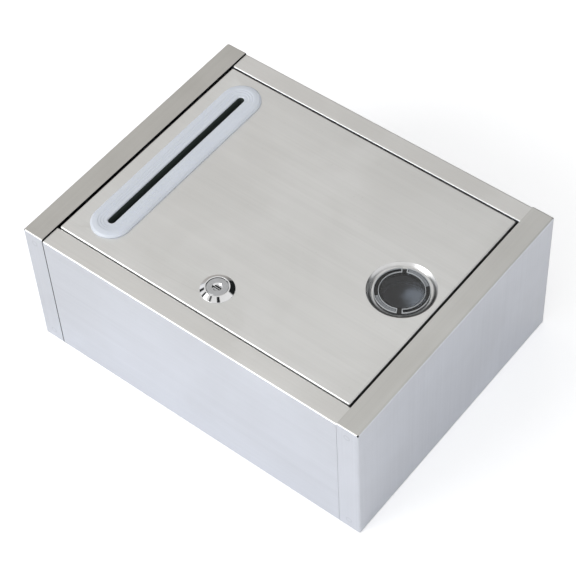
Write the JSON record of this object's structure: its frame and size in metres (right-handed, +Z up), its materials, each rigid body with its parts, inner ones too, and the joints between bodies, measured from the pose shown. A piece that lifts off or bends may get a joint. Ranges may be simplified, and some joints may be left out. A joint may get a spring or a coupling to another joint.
{
  "type": "bus fare box",
  "caption": "Shallow stainless fare box: folded case with end caps, a hinged locking lid, a long note slot with a moulded bezel, a cam lock and a round sight window.",
  "frame": {"origin": "centre of the case's underside, on the surface it lies on", "axes": "+Z up through the lid, +X along the long side from the slot end to the window end, +Y from the lock side to the hinge side"},
  "size_m": [0.25, 0.194, 0.1044],
  "materials": {
    "shell": "fine brushed stainless, long grain along the case",
    "end_caps": "fine brushed stainless",
    "hinge_brackets": "plain mill stainless",
    "hinge_bushes": "natural nylon",
    "lid_panel": "fine brushed stainless, polished round the window",
    "hinge_pins": "bright turned steel",
    "pin_spacers": "black nylon",
    "pin_clips": "dark spring steel",
    "slot_bezel": "satin white moulded plastic, faintly blue",
    "slot_throat": "dark green-black moulded plastic",
    "seals": "black foam rubber",
    "screws": "bright zinc plate",
    "slot_baffle": "plain stainless strip",
    "window_lens": "clear moulded plastic",
    "window_gasket": "black rubber",
    "window_slip_washer": "white nylon",
    "window_ring_nut": "black moulded plastic",
    "lock_housing": "polished chrome plate",
    "lock_plug": "turned face with circular marks",
    "lock_hardware": "bright zinc plate",
    "lock_brass": "plain brass",
    "lock_cam": "zinc-plated steel"
  },
  "bodies": {
    "case": {"shell": "shell", "left_end_cap": "end_caps", "right_end_cap": "end_caps", "left_hinge_bracket": "hinge_brackets", "right_hinge_bracket": "hinge_brackets", "left_hinge_bush": "hinge_bushes", "right_hinge_bush": "hinge_bushes"},
    "lid": {"lid_panel": "lid_panel", "left_hinge_pin": "hinge_pins", "right_hinge_pin": "hinge_pins", "left_pin_spacer": "pin_spacers", "right_pin_spacer": "pin_spacers", "left_pin_clip": "pin_clips", "right_pin_clip": "pin_clips", "slot_bezel": "slot_bezel", "slot_throat": "slot_throat", "slot_seal": "seals", "slot_screws": "screws", "slot_baffle": "slot_baffle", "window_lens": "window_lens", "window_gasket": "window_gasket", "window_slip_washer": "window_slip_washer", "window_ring_nut": "window_ring_nut", "lock_housing": "lock_housing", "lock_washer": "lock_hardware", "lock_nut": "lock_brass"},
    "lock_plug": {"lock_plug": "lock_plug", "lock_wafers": "lock_brass", "lock_cam": "lock_cam", "cam_washer": "lock_hardware", "cam_screw": "screws"}
  },
  "joints": [
    {"name": "lid_hinge", "type": "hinge", "parent": "case", "child": "lid", "pos_m": [0, 0.0713, 0.097], "axis": [-1, 0, 0], "range_deg": [0, 125]},
    {"name": "lock_turn", "type": "hinge", "parent": "lid", "child": "lock_plug", "pos_m": [-0.002, -0.0632, 0.087], "axis": [0, 0, 1], "range_deg": [0, 90]}
  ]
}
